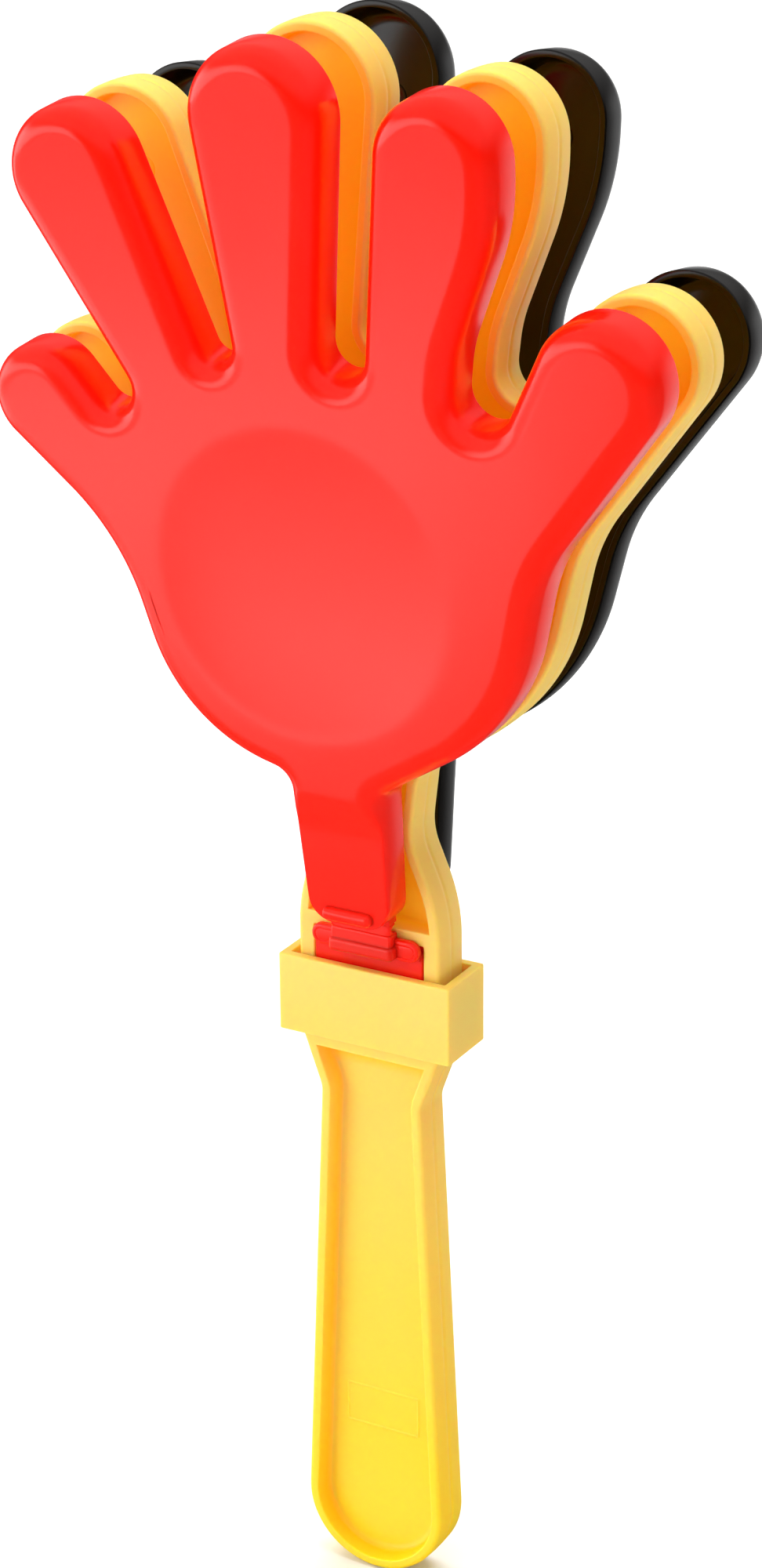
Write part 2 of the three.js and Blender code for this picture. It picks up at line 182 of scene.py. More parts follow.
def carried(path, profile):
    """A profile carried along a closed outline: rings of points (x, y, height).

    Ring k is the outline moved inwards by the profile's inset k, at its distance y from the
    mid-plane.
    """
    points, inward = path
    inset, y = np.array(profile).T
    flat = points[None] + inset[:, None, None] * inward[None]
    return np.stack([flat[..., 0], np.broadcast_to(y[:, None], flat.shape[:2]), flat[..., 1]], -1)


def rounded(start, corner, end, radius, steps):
    """A profile's corner rounded off: points on the arc that touches both of its sides.

    The arc's centre lies on the corner's bisector, at the radius over the sine of half the
    corner's angle. Its points are the first and last one mixed by the sines of their shares of
    the arc's angle.
    """
    start, corner, end = (np.array(p, float) for p in (start, corner, end))
    one, two = start - corner, end - corner
    one, two = one / np.hypot(*one), two / np.hypot(*two)
    half = math.acos(np.clip(one @ two, -1, 1)) / 2
    bisector = (one + two) / np.hypot(*(one + two))
    centre = corner + bisector * radius / math.sin(half)
    first = corner + one * radius / math.tan(half) - centre
    last = corner + two * radius / math.tan(half) - centre
    span = math.acos(np.clip(first @ last / radius**2, -1, 1))
    share = np.linspace(0, 1, steps + 1)[:, None]
    arc = np.sin((1 - share) * span) * first + np.sin(share * span) * last
    return (arc / math.sin(span) + centre).tolist()


class Skin:
    """Patches of one surface, gathered before they are sewn into a mesh."""

    def __init__(self):
        self.points, self.faces, self.count = [], [], 0

    def add(self, points, faces):
        """A patch of points and of faces that count from its own first point."""
        points = np.asarray(points, float).reshape(-1, 3)
        self.points.append(points)
        self.faces += [[self.count + i for i in face] for face in faces]
        self.count += len(points)

    def add_rings(self, rings):
        """Quads between neighbouring rings of a (rings, points, 3) array."""
        many, around = rings.shape[:2]
        index = np.arange(many * around).reshape(many, around)
        across = np.roll(index, -1, 1)
        quads = np.stack([index[:-1], across[:-1], across[1:], index[1:]], -1)
        self.add(rings, quads.reshape(-1, 4).tolist())

    def add_flat(self, loops):
        """A flat sheet inside the first loop, with the other loops cut out of it."""
        triangles = tessellate_polygon([[Vector(p) for p in loop] for loop in loops])
        self.add(np.concatenate(loops), [list(t) for t in triangles])

    def add_well(self, x, y, height, profile, around):
        """A round hollow or boss in a flat face at y: rings of a profile (radius, out).

        The profile runs from its outer edge, which closes a hole of that radius in the face, to
        the middle, and is turned about the line through x and height.
        """
        radius, out = np.array(profile).T
        angle = math.tau * np.arange(around) / around
        ring = np.stack([np.cos(angle), 0 * angle, np.sin(angle)], -1)
        rings = radius[:, None, None] * ring + np.array([x, y, height])
        rings[..., 1] += out[:, None]
        self.add_rings(rings)
        self.add_flat([rings[-1]])
        return rings[0]


def sew(name, skin, crease_degrees=32):
    """A mesh object of all the patches, joined where they meet, in metres in the shared frame."""
    mesh = bpy.data.meshes.new(name)
    mesh.from_pydata((np.concatenate(skin.points) * MM).tolist(), [], skin.faces)
    sewn = bmesh.new()
    sewn.from_mesh(mesh)
    bmesh.ops.remove_doubles(sewn, verts=sewn.verts, dist=1e-6)
    bmesh.ops.dissolve_degenerate(sewn, edges=sewn.edges, dist=1e-7)
    bmesh.ops.recalc_face_normals(sewn, faces=sewn.faces)
    sewn.to_mesh(mesh)
    sewn.free()
    mesh.shade_smooth()
    mesh.set_sharp_from_angle(angle=math.radians(crease_degrees))
    piece = bpy.data.objects.new(name, mesh)
    bpy.context.scene.collection.objects.link(piece)
    return piece


def swung(skin, side, degrees):
    """Turns every patch outwards about the hinge line of that side (-1 front, 1 rear)."""
    angle = -side * math.radians(degrees)
    cosine, sine = math.cos(angle), math.sin(angle)
    for points in skin.points:
        y, z = points[:, 1] - side * AXIS_OUT, points[:, 2] - HINGE
        points[:, 1] = side * AXIS_OUT + y * cosine - z * sine
        points[:, 2] = HINGE + y * sine + z * cosine


def mirrored_to(skin, side):
    """Moves patches made for the rear (+Y) to the front if side is -1."""
    for points in skin.points:
        points[:, 1] *= side


def box_outline(half_width, bottom, top, low_radius, high_radius=None):
    """The outline of a rectangle with rounded corners."""
    high_radius = high_radius or low_radius
    x_low, x_high = half_width - low_radius, half_width - high_radius
    corners = [
        (-x_low, bottom + low_radius, low_radius),
        (x_low, bottom + low_radius, low_radius),
        (x_high, top - high_radius, high_radius),
        (-x_high, top - high_radius, high_radius),
    ]
    return outline(corners, 0.25)


def add_block(skin, path, back, front, edge, steps=4):
    """A raised block: walls from back to front along an outline, with its front edge rounded."""
    profile = [(0, back), *rounded((0, back), (0, front), (FAR, front), edge, steps)]
    profile.append((edge + 0.04, front))
    rings = carried(path, profile)
    skin.add_rings(rings)
    skin.add_flat([rings[-1]])
    skin.add_flat([rings[0]])


def dish_profile():
    """The palm's dish as (radius, out) from its edge to its middle.

    A cap of a sphere whose sag at a distance r from its middle is the depth times one minus the
    square of r over the dish's radius. Half the sum of the sag and the root of its square plus a
    small square fades it out at the edge.
    """
    soft = 0.11
    radius = np.concatenate([[DISH_RADIUS + 2.4], np.linspace(DISH_RADIUS + 2.0, 0.8, 44)])
    sag = DISH_DEPTH * (1 - (radius / DISH_RADIUS) ** 2)
    faded = 0.5 * (sag + np.sqrt(sag**2 + soft**2))
    return np.c_[radius, -np.maximum(faded - faded[1], 0)]


def pin_mark(skin, x, y, height, side):
    """The ring that an ejector pin leaves in an inner face: its groove, turned about the pin."""
    profile = PIN_GROOVE * (1, side) + (PIN_RADIUS, 0)
    return skin.add_well(x, y, height, profile, around=48)


def neck_drop(height):
    """How far the neck's face lies below the palm's: a smooth step, then a slow straight slope.

    The step rises as 3s^2 - 2s^3 with the share s of its way down.
    """
    share = np.clip((NECK_STEP_TOP - height) / NECK_STEP_LENGTH, 0, 1)
    step = NECK_STEP_DEPTH * share**2 * (3 - 2 * share)
    return step + NECK_SLOPE * np.clip(NECK_SLOPE_TOP - height, 0, None)


def faced_off(rings, face):
    """Rings whose neck is planed down to the dropped face.

    The smaller of y and the dropped face's depth: half of their sum less the root of their
    squared difference, to which a small square is added to soften the corner.
    """
    y, limit = rings[..., 1], face - neck_drop(rings[..., 2])
    soft = 0.12 * np.clip((NECK_STEP_TOP - rings[..., 2]) / 3, 0, 1)
    rings[..., 1] = (y + limit - np.sqrt((y - limit) ** 2 + soft**2)) / 2
    return rings


def add_hand_face(skin, ring, holes):
    """The flat of a hand inside a ring: the palm and fingers, then bands down the bent neck.

    The ring's points below the bands' top are split at the lowest one into a left and a right
    edge. Each band goes from edge to edge between the points nearest to its two heights.
    """
    neck = np.flatnonzero(ring[:, 2] < NECK_BANDS[0])
    start = neck[np.flatnonzero(np.diff(neck, prepend=neck[-1] - len(ring)) > 1)[0]]
    run = (start + np.arange(len(neck))) % len(ring)
    rest = (run[-1] + np.arange(len(ring) - len(neck) + 2)) % len(ring)
    skin.add_flat([ring[rest], *holes])
    lowest = int(np.argmin(ring[run, 2]))
    left, right = run[: lowest + 1], run[lowest:][::-1]
    cuts = []
    for edge in (left, right):
        nearest = [int(np.argmin(np.abs(ring[edge, 2] - height))) for height in NECK_BANDS[1:]]
        cuts.append([0, *nearest, len(edge) - 1])
    for a, b, c, d in zip(cuts[0], cuts[0][1:], cuts[1], cuts[1][1:]):
        loop = np.concatenate([left[a : b + 1], right[c : d + 1][::-1]])
        loop = loop[np.sort(np.unique(loop, return_index=True)[1])]
        if len(loop) > 2:
            skin.add_flat([ring[loop]])


def hand_shell():
    """The skin of an outer hand, made for the rear and closed against the middle hand.

    Its section, carried along the outline, runs from the outer face over the broad edge radius
    and down the drafted flank to the open side, and back up inside to the inner face.
    """
    skin = Skin()
    corner_x = NECK_END_HALF_WIDTH - NECK_END_RADIUS
    corner_z = NECK_END + NECK_END_RADIUS
    corners = [(-corner_x, corner_z, NECK_END_RADIUS), (corner_x, corner_z, NECK_END_RADIUS)]
    right = (OUTER_NECK_RIGHT + NECK_FILLET, NECK_TOP, -NECK_FILLET)
    left = (-OUTER_NECK_LEFT - NECK_FILLET, NECK_TOP, -NECK_FILLET)
    path = outline([right, *HAND[1:-1], left, *corners], HAND_SPACING)
    face = RIM + SHELL_DEPTH
    floor = face - SHELL_WALL
    shoulder, mouth = (SHELL_DRAFT, face), (MOUTH_INSET, RIM)
    outside = [
        (SHELL_FILLET + 0.55, face),
        *rounded((FAR, face), shoulder, mouth, SHELL_FILLET, 14),
        *rounded(shoulder, mouth, (FAR, RIM), MOUTH_RADIUS, 3),
    ]
    mouth, root = (SHELL_WALL, RIM), (SHELL_WALL + SHELL_DRAFT, floor)
    inside = [
        *rounded((0, RIM), mouth, root, MOUTH_INNER_RADIUS, 3),
        *rounded(mouth, root, (FAR, floor), SHELL_FILLET - SHELL_WALL, 8),
        (SHELL_FILLET + 0.6, floor),
    ]
    outer_rings = faced_off(carried(path, outside), face)
    inner_rings = faced_off(carried(path, inside), floor)
    skin.add_rings(np.concatenate([outer_rings, inner_rings]))
    dish = skin.add_well(DISH_X, face, DISH_HEIGHT, dish_profile(), around=128)
    add_hand_face(skin, outer_rings[0], [dish])
    bulge = skin.add_well(DISH_X, floor, DISH_HEIGHT, dish_profile(), around=128)
    marks = [pin_mark(skin, x, floor, z, 1) for x, z in PIN_MARKS]
    add_hand_face(skin, inner_rings[-1], [bulge, *marks])
    return skin


def hand_hinge_end(skin):
    """The bar across the neck's end and the upper half of the strap."""
    lip = box_outline(LIP_HALF_WIDTH, LIP_BOTTOM, LIP_TOP, LIP_RADIUS)
    add_block(skin, lip, LIP_BACK, LIP_FRONT, LIP_EDGE, 8)
    strap_bottom, strap_top = HINGE + STRAP_GROOVE / 2, NECK_END + SHELL_WALL - 0.1
    strap = box_outline(STRAP_HALF_WIDTH, strap_bottom, strap_top, 0.3)
    add_block(skin, strap, RIM + 0.1, FACE_DEPTH + STRAP_OUT, 0.15)


def linear(value):
    """An sRGB hex colour such as 0xF01410 as linear red, green, blue and alpha."""
    shares = [((value >> shift) & 255) / 255 for shift in (16, 8, 0)]
    return [s / 12.92 if s <= 0.04045 else ((s + 0.055) / 1.055) ** 2.4 for s in shares] + [1.0]


def add_node(tree, kind, inputs=None, **settings):
    """A node with its own settings. An input is given a value, or the output that feeds it."""
    made = tree.nodes.new(kind)
    for name, value in settings.items():
        setattr(made, name, value)
    for name, value in (inputs or {}).items():
        if isinstance(value, bpy.types.NodeSocket):
            tree.links.new(value, made.inputs[name])
        else:
            made.inputs[name].default_value = value
    return made


def new_material(name):
    """An empty node material, with its tree and the Object coordinates of its piece."""
    material = bpy.data.materials.new(name)
    material.use_nodes = True
    tree = material.node_tree
    tree.nodes.clear()
    return material, tree, add_node(tree, "ShaderNodeTexCoord").outputs["Object"]


# Noise as (scale per metre, detail): the sink of cooling walls is about 18 mm long, the peel
# of the mould's polish 1.4 mm, and the clouds of pigment and of gloss 31 mm.
SINK, PEEL, CLOUD = (55.0, 1.0), (700.0, 2.0), (32.0, 4.0)
SINK_HEIGHT, PEEL_HEIGHT = 0.05 * MM, 0.004 * MM
CLOUD_SHARE = 0.2  # of the way from the deep colour to the pale one
# Painted glow: how far the colour is mixed to the glow colour, and how strongly it emits, where the
# painted glow's share is full.
PAINTED_GLOW_TINT, PAINTED_GLOW_STRENGTH = 0.85, 0.17  # where the plastic is wholly sheltered


def moulded_plastic(name, deep, pale, fade_mm, roughness, gloss, subsurface, bleed, glow=None):
    """Injection-moulded polypropylene: a smooth skin with faint waves, and clouds in its gloss.

    The colour is painted paler towards one end of the moulding, a painted sheen and light that
    stand in for the brighter gloss there: fade_mm are the heights where it is deepest and palest.
    The bleed is how far red, green and blue light spread inside, in millimetres. A glow is the
    colour of a painted glow in the hollows: where the piece's glow share is above nought, the
    colour is mixed towards it and the surface emits it, standing in for bounced light.
    """
    material, tree, place = new_material(name)
    sink, peel, cloud = (
        add_node(tree, "ShaderNodeTexNoise", {"Vector": place, "Scale": scale, "Detail": detail})
        for scale, detail in (SINK, PEEL, CLOUD)
    )
    rough = add_node(
        tree,
        "ShaderNodeMapRange",
        {"Value": cloud.outputs["Fac"], 1: 0.3, 2: 0.7, 3: roughness * 0.85, 4: roughness * 1.2},
    )
    height = add_node(tree, "ShaderNodeSeparateXYZ", {"Vector": place}).outputs["Z"]
    # Painted sheen and light: between these two heights the colour goes from deep to pale, standing
    # in for gloss and light that are brighter at that end.
    low, high = (mm * MM for mm in fade_mm)
    painted_sheen_fade = add_node(
        tree,
        "ShaderNodeMapRange",
        {"Value": height, 1: low, 2: high, 3: -CLOUD_SHARE / 2, 4: 1 - CLOUD_SHARE / 2},
    )
    # The mix: random clouds of pigment laid over the painted sheen by height.
    mottle_and_painted_sheen = add_node(
        tree,
        "ShaderNodeMath",
        {0: cloud.outputs["Fac"], 1: CLOUD_SHARE, 2: painted_sheen_fade.outputs["Result"]},
        operation="MULTIPLY_ADD",
    )
    colour = add_node(
        tree,
        "ShaderNodeMix",
        {"Factor": mottle_and_painted_sheen.outputs["Value"], "A": linear(deep), "B": linear(pale)},
        data_type="RGBA",
        clamp_factor=True,
    )
    # Painted glow: where its share is above nought, the colour is mixed towards the glow colour and
    # the surface emits that light.
    painted_glow_emission = {}
    if glow is not None:
        painted_glow_share = add_node(tree, "ShaderNodeAttribute", attribute_name="painted_glow_share").outputs["Fac"]
        tint, strength = (
            add_node(tree, "ShaderNodeMath", {0: painted_glow_share, 1: most}, operation="MULTIPLY")
            for most in (PAINTED_GLOW_TINT, PAINTED_GLOW_STRENGTH)
        )
        colour = add_node(
            tree,
            "ShaderNodeMix",
            {"Factor": tint.outputs[0], "A": colour.outputs["Result"], "B": linear(glow)},
            data_type="RGBA",
        )
        painted_glow_emission["Emission Color"] = linear(glow)
        painted_glow_emission["Emission Strength"] = strength.outputs[0]
    waves = add_node(
        tree,
        "ShaderNodeBump",
        {"Height": sink.outputs["Fac"], "Strength": 1.0, "Distance": SINK_HEIGHT},
    )
    peeled = add_node(
        tree,
        "ShaderNodeBump",
        {
            "Height": peel.outputs["Fac"],
            "Strength": 1.0,
            "Distance": PEEL_HEIGHT,
            "Normal": waves.outputs["Normal"],
        },
    )
    shader = add_node(
        tree,
        "ShaderNodeBsdfPrincipled",
        {
            "Base Color": colour.outputs["Result"],
            **painted_glow_emission,
            "Roughness": rough.outputs["Result"],
            "IOR": 1.49,
            "Specular IOR Level": gloss,
            "Normal": peeled.outputs["Normal"],
            "Subsurface Weight": subsurface,
            "Subsurface Radius": bleed,
            "Subsurface Scale": 1.0 * MM,
        },
    )
    add_node(tree, "ShaderNodeOutputMaterial", {"Surface": shader.outputs["BSDF"]})
    return material


# Bright red polypropylene from a polished mould: a clear red whose edges glow from the light
# inside it, under soft but distinct reflections. Its colour is painted paler from the fingertips
# down to the palm, a painted sheen.
red_plastic = moulded_plastic(
    "moulded_red_polypropylene",
    deep=0xFF1602,
    pale=0xFF2010,
    fade_mm=(215, 130),
    roughness=0.17,
    gloss=0.5,
    subsurface=0.6,
    bleed=(3, 0.15, 0.1),
)
front_skin = hand_shell()
hand_hinge_end(front_skin)
mirrored_to(front_skin, -1)
swung(front_skin, -1, FRONT_SPLAY)
front_hand = sew("front_hand", front_skin)
front_hand.data.materials.append(red_plastic)
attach(front_hand, "front_hand")
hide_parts("front_hand_shell")

# Front hinge and tab. The same red moulding goes on below the fold: a thinned strap that bends,
# a knuckle with a bar across it, a stop bar with two ears, and a plate in the frame's pocket.

POCKET_TOP = HINGE - 2.8
POCKET_BOTTOM = POCKET_TOP - 20.0
POCKET_HALF_WIDTH = 10.7
TAB_BACK, TAB_TOP_THICKNESS, TAB_TOP_RADIUS = 0.9, 1.0, 2.3
STOP_BOTTOM, STOP_HEIGHT = HINGE - 5.7, 3.8
EAR_OUT, EAR_EDGE = 1.4, 0.45
EAR_LINE = [(0.62, 0), (0.72, -0.12), (0.84, -0.12), (0.96, -0.02), (1.2, 0)]  # inset, out
KNUCKLE_RADIUS, KNUCKLE_EDGE = 0.5, 0.45
BAR_HALF_WIDTH, BAR_HEIGHT, BAR_RADIUS, BAR_OUT, BAR_EDGE = 6.25, 2.7, 0.9, 0.35, 0.8


def hinge_tab():
    """The skin of a tab with its knuckle and bars, made for the rear.

    The plate is a block with a thinner one on it whose top corners are rounded. A fine groove
    runs round inside the edge of the ears.
    """
    skin = Skin()
    half_width, top, bottom = POCKET_HALF_WIDTH - GAP, POCKET_TOP - GAP, POCKET_BOTTOM + GAP
    clear = FACE_DEPTH + GAP
    strap_face = FACE_DEPTH + STRAP_OUT
    step = FACE_DEPTH - TAB_TOP_THICKNESS
    plate = box_outline(half_width, bottom, top, 0.3)
    add_block(skin, plate, TAB_BACK, step, 0.1)
    plate_top = box_outline(half_width, bottom, top, 0.3, TAB_TOP_RADIUS)
    add_block(skin, plate_top, step - 0.1, FACE_DEPTH, 0.15)
    riser = box_outline(half_width - GAP, STOP_BOTTOM, top, 0.3)
    add_block(skin, riser, FACE_DEPTH - 0.1, clear + 0.1, 0.02)
    ears = box_outline(half_width, STOP_BOTTOM, STOP_BOTTOM + STOP_HEIGHT, STOP_HEIGHT / 2 - 0.05)
    front = FACE_DEPTH + EAR_OUT
    ear_profile = [(0, clear), *rounded((0, clear), (0, front), (FAR, front), EAR_EDGE, 6)]
    ear_profile += [(inset, front + out) for inset, out in EAR_LINE]
    ear_rings = carried(ears, ear_profile)
    skin.add_rings(ear_rings)
    skin.add_flat([ear_rings[-1]])
    skin.add_flat([ear_rings[0]])
    knuckle_top = HINGE - STRAP_GROOVE / 2
    knuckle = box_outline(STRAP_HALF_WIDTH, STOP_BOTTOM, knuckle_top, KNUCKLE_RADIUS)
    add_block(skin, knuckle, clear, strap_face, KNUCKLE_EDGE, 5)
    bar = box_outline(BAR_HALF_WIDTH, STOP_BOTTOM, STOP_BOTTOM + BAR_HEIGHT, BAR_RADIUS)
    add_block(skin, bar, clear, strap_face + BAR_OUT, BAR_EDGE, 8)
    return skin


def hinge_fold():
    """The skin of the thinned strap, made for the rear: a rounded strip whose back is hollowed.

    The front is flat. The back's distance from it grows from the web's thickness at the fold to
    the strap's thickness at both ends as the square of the distance from the fold. The section
    is a rectangle rounded as a superellipse of power ten. Its two ends are a little smaller and
    lie inside the hand and the knuckle.
    """
    skin = Skin()
    half_groove, around = STRAP_GROOVE / 2, 48
    height = np.linspace(-half_groove - 0.35, half_groove + 0.35, 25)
    share = np.clip(np.abs(height) / half_groove, 0, 1)
    strap_thickness = STRAP_OUT - GAP - 0.2
    sunk = np.where(np.abs(height) > half_groove + 0.01, 0.2, 0.02)
    thick = WEB_THICKNESS + (strap_thickness - WEB_THICKNESS) * share**2 - sunk
    angle = math.tau * (np.arange(around) + 0.5) / around
    across, through = (
        np.sign(wave(angle)) * np.abs(wave(angle)) ** 0.2 for wave in (np.cos, np.sin)
    )
    middle = FACE_DEPTH + STRAP_OUT - sunk - thick / 2
    x = (STRAP_HALF_WIDTH - sunk)[:, None] * across[None]
    y = middle[:, None] + (thick / 2)[:, None] * through[None]
    rings = np.stack([x, y, np.broadcast_to((HINGE + height)[:, None], x.shape)], -1)
    skin.add_rings(rings)
    skin.add_flat([rings[0]])
    skin.add_flat([rings[-1]])
    return skin


def add_hinge(side, word, material):
    """Makes one hinge's tab, which stays with the handle, and its fold, baked where it stands."""
    tab_skin = hinge_tab()
    mirrored_to(tab_skin, side)
    tab = sew(f"{word}_tab", tab_skin)
    fold_skin = hinge_fold()
    mirrored_to(fold_skin, side)
    fold = sew(f"{word}_fold", fold_skin, 50)
    for piece in (tab, fold):
        piece.data.materials.append(material)
    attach(tab, "handle")
    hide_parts(f"{word}_hinge_tab")
    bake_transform(fold)
    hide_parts(f"{word}_living_hinge")


add_hinge(-1, "front", red_plastic)

# Rear hand. The same moulding in black polypropylene, turned to face backwards, with its own
# hinge and tab in the frame's rear pocket.

# Black polypropylene, coloured with carbon black and quite opaque: deep black with a hint of
# brown, seen mostly by its highlights. Its colour is painted a touch paler from the fingertips
# down to the neck, a painted sheen.
black_plastic = moulded_plastic(
    "moulded_black_polypropylene",
    deep=0x080402,
    pale=0x0C0704,
    fade_mm=(215, 80),
    roughness=0.2,
    gloss=0.5,
    subsurface=0.0,
    bleed=(1, 1, 1),
)
rear_skin = hand_shell()
hand_hinge_end(rear_skin)
swung(rear_skin, 1, REAR_SPLAY)
rear_hand = sew("rear_hand", rear_skin)
rear_hand.data.materials.append(black_plastic)
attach(rear_hand, "rear_hand")
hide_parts("rear_hand_shell")
add_hinge(1, "rear", black_plastic)

# Middle hand and handle. One yellow polypropylene moulding with an I-shaped section: a rim runs
# round the whole outline and a thin web lies in the mid-plane. The mould parts round the middle
# of the edge, where it leaves a line.

RIM_WALL, WEB = 2.1, 1.2
FLOOR = WEB / 2
HOLLOW_DRAFT, HOLLOW_EDGE = 0.2, 0.22
HAND_FLOOR_FILLET, TRAY_FILLET, TAB_POCKET_FILLET = 0.8, 1.3, 0.05
OUTER_EDGE, OUTER_EDGE_INSET = 0.75, 0.28
SEAM_INSET, SEAM_DRAFT, SEAM_DEPTH, SEAM_WIDTH = 0.1, 0.03, 0.16, 0.42
CROSSBAR, TAB_RIB = 2.4, 3.0
FRAME_HALF_WIDTH = 14.0
FOOT_HEIGHT = POCKET_BOTTOM + 1.5
waist = (-8.8 - 11.3, HINGE + 17.7, -11.3)
shoulder = (31.1 - FRAME_HALF_WIDTH, HINGE - 3.1, 31.1)
foot = (8.0 - FRAME_HALF_WIDTH, FOOT_HEIGHT, 8.0)
grip_start = (-10.1 - 5.0, FOOT_HEIGHT - 13.0, -5.0)
grip_tip = (0, -38.7, 13.8)


def flipped(circle):
    """A circle of the outline on the other side of the handle."""
    return (-circle[0], *circle[1:])


def inner_edge(circle):
    """A circle of the outline moved in by the rim's width."""
    return (*circle[:2], circle[2] - RIM_WALL)


left_side = [waist, shoulder, foot, grip_start]
right_side = [flipped(circle) for circle in left_side[::-1]]
body_path = outline([*HAND, *left_side, grip_tip, *right_side], HAND_SPACING)

# The hand's hollow ends above the tab's pocket in two sharp corners, where the shoulder's inner
# edge meets the crossbar.
pocket_z = POCKET_TOP + CROSSBAR
pocket_reach = shoulder[2] - RIM_WALL
pocket_x = shoulder[0] - math.sqrt(pocket_reach**2 - (pocket_z - shoulder[1]) ** 2)
pocket_left = [inner_edge(waist), inner_edge(shoulder), (pocket_x, pocket_z, 0)]
pocket_right = [flipped(circle) for circle in pocket_left[::-1]]
hand_inside = [inner_edge(circle) for circle in HAND]
hand_pocket = outline([*hand_inside, *pocket_left, *pocket_right], HAND_SPACING)

# The grip's hollow starts below the tab's pocket in two sharp corners, on the straight line
# that touches the inner edges of the foot and of the grip's start.
slope = np.array(grip_start[:2]) - np.array(foot[:2])
lean = math.atan2(slope[1], slope[0]) + math.acos((grip_start[2] - foot[2]) / np.hypot(*slope))
tray_z = POCKET_BOTTOM - TAB_RIB
tray_reach = foot[2] - RIM_WALL
tray_x = foot[0] - (tray_reach + (tray_z - foot[1]) * math.sin(lean)) / math.cos(lean)
tray_left = [(tray_x, tray_z, 0), inner_edge(grip_start)]
tray_right = [flipped(circle) for circle in tray_left]
tray = outline([tray_right[0], *tray_left, inner_edge(grip_tip), tray_right[1]], HAND_SPACING)
tab_pocket = box_outline(POCKET_HALF_WIDTH, POCKET_BOTTOM, POCKET_TOP, 0.3)

LABEL_HALF_WIDTH, LABEL_BOTTOM, LABEL_TOP, LABEL_RADIUS = 7.3, -25.2, -17.2, 0.35
LABEL_BORDER = [  # inset, out of the floor
    (-0.12, 0), (0, 0.03), (0.1, 0.13), (0.2, 0.16), (0.3, 0.13), (0.4, 0.06), (0.52, 0.05),
]


def add_label(skin, side):
    """The plain field low in a hollow of the grip, inside a fine raised border."""
    path = box_outline(LABEL_HALF_WIDTH, LABEL_BOTTOM, LABEL_TOP, LABEL_RADIUS)
    rings = carried(path, [(inset, FLOOR + out) for inset, out in LABEL_BORDER])
    rings[..., 1] *= side
    skin.add_rings(rings)
    skin.add_flat([rings[-1]])
    return rings[0]


# The outer edge: a rounded corner, drafted sides and the seam between them, a groove that
# follows the bell curve exp(-(y / width)^2).
moulding = Skin()
seam = np.linspace(-1.2, 1.2, 17)
groove = SEAM_DEPTH * np.exp(-((seam / SEAM_WIDTH) ** 2))
seam_profile = np.c_[SEAM_INSET + SEAM_DRAFT * np.abs(seam) + groove, seam].tolist()
front_corner, rear_corner = ((OUTER_EDGE_INSET, side * FACE_DEPTH) for side in (-1, 1))
outer_profile = [
    (1.15, -FACE_DEPTH),
    *rounded((FAR, -FACE_DEPTH), front_corner, (0.12, 0), OUTER_EDGE, 7),
    *seam_profile,
    *rounded((0.12, 0), rear_corner, (FAR, FACE_DEPTH), OUTER_EDGE, 7),
    (1.15, FACE_DEPTH),
]
outer_rings = carried(body_path, outer_profile)
moulding.add_rings(outer_rings)

# The hollows of each side, and the open face with their mouths cut out of it.
hollows = [(hand_pocket, HAND_FLOOR_FILLET), (tray, TRAY_FILLET), (tab_pocket, TAB_POCKET_FILLET)]
for side in (-1, 1):
    mouths = []
    for path, fillet in hollows:
        mouth, root = (0, FACE_DEPTH), (HOLLOW_DRAFT, FLOOR)
        profile = [
            (-0.35, FACE_DEPTH),
            *rounded((-FAR, FACE_DEPTH), mouth, root, HOLLOW_EDGE, 3),
            *rounded(mouth, root, (FAR, FLOOR), fillet, 6),
            (HOLLOW_DRAFT + fillet + 0.4, FLOOR),
        ]
        rings = carried(path, profile)
        rings[..., 1] *= side
        moulding.add_rings(rings)
        mouths.append(rings[0])
        wells = []
        if path is hand_pocket:
            wells = [pin_mark(moulding, x, side * FLOOR, z, side) for x, z in PIN_MARKS[:4]]
        if path is tray:
            wells = [add_label(moulding, side)]
        moulding.add_flat([rings[-1], *wells])
    moulding.add_flat([outer_rings[0 if side < 0 else -1], *mouths])
middle_hand = sew("middle_hand", moulding)

# The walls of the hollows and the thin web get a painted glow: their colour is mixed towards
# orange and they emit a little orange light, standing in for the red light bounced and carried
# into them. Its share is 1 there, 0.8 on the grip's walls, and 0 on the open faces, the outer
# edge and the grip's floor. The hand's rim gets up to a half, growing towards the fingers.
vertex_places = np.empty(3 * len(middle_hand.data.vertices), np.float32)
middle_hand.data.vertices.foreach_get("co", vertex_places)
x_mm, y_mm, z_mm = (vertex_places.reshape(-1, 3) / MM).T
sunk_in = np.clip((FACE_DEPTH - 0.1 - np.abs(y_mm)) / 1.5, 0, 1)
outline_x, outline_z = body_path[0].T
from_outline = np.hypot(x_mm[:, None] - outline_x, z_mm[:, None] - outline_z).min(1)
on_tray_floor = (z_mm < POCKET_BOTTOM - 6) & (np.abs(y_mm) < FLOOR + 0.3)
in_hand = np.maximum(sunk_in, 0.5 * np.clip((z_mm - PALM + 20) / 40, 0, 1))
painted_glow_values = np.where(z_mm < POCKET_BOTTOM, 0.8 * sunk_in, in_hand)
painted_glow_values = np.where((from_outline < 1.0) | on_tray_floor, 0.0, painted_glow_values).astype(np.float32)
painted_glow_share = middle_hand.data.attributes.new("painted_glow_share", "FLOAT", "POINT")
painted_glow_share.data.foreach_set("value", painted_glow_values)

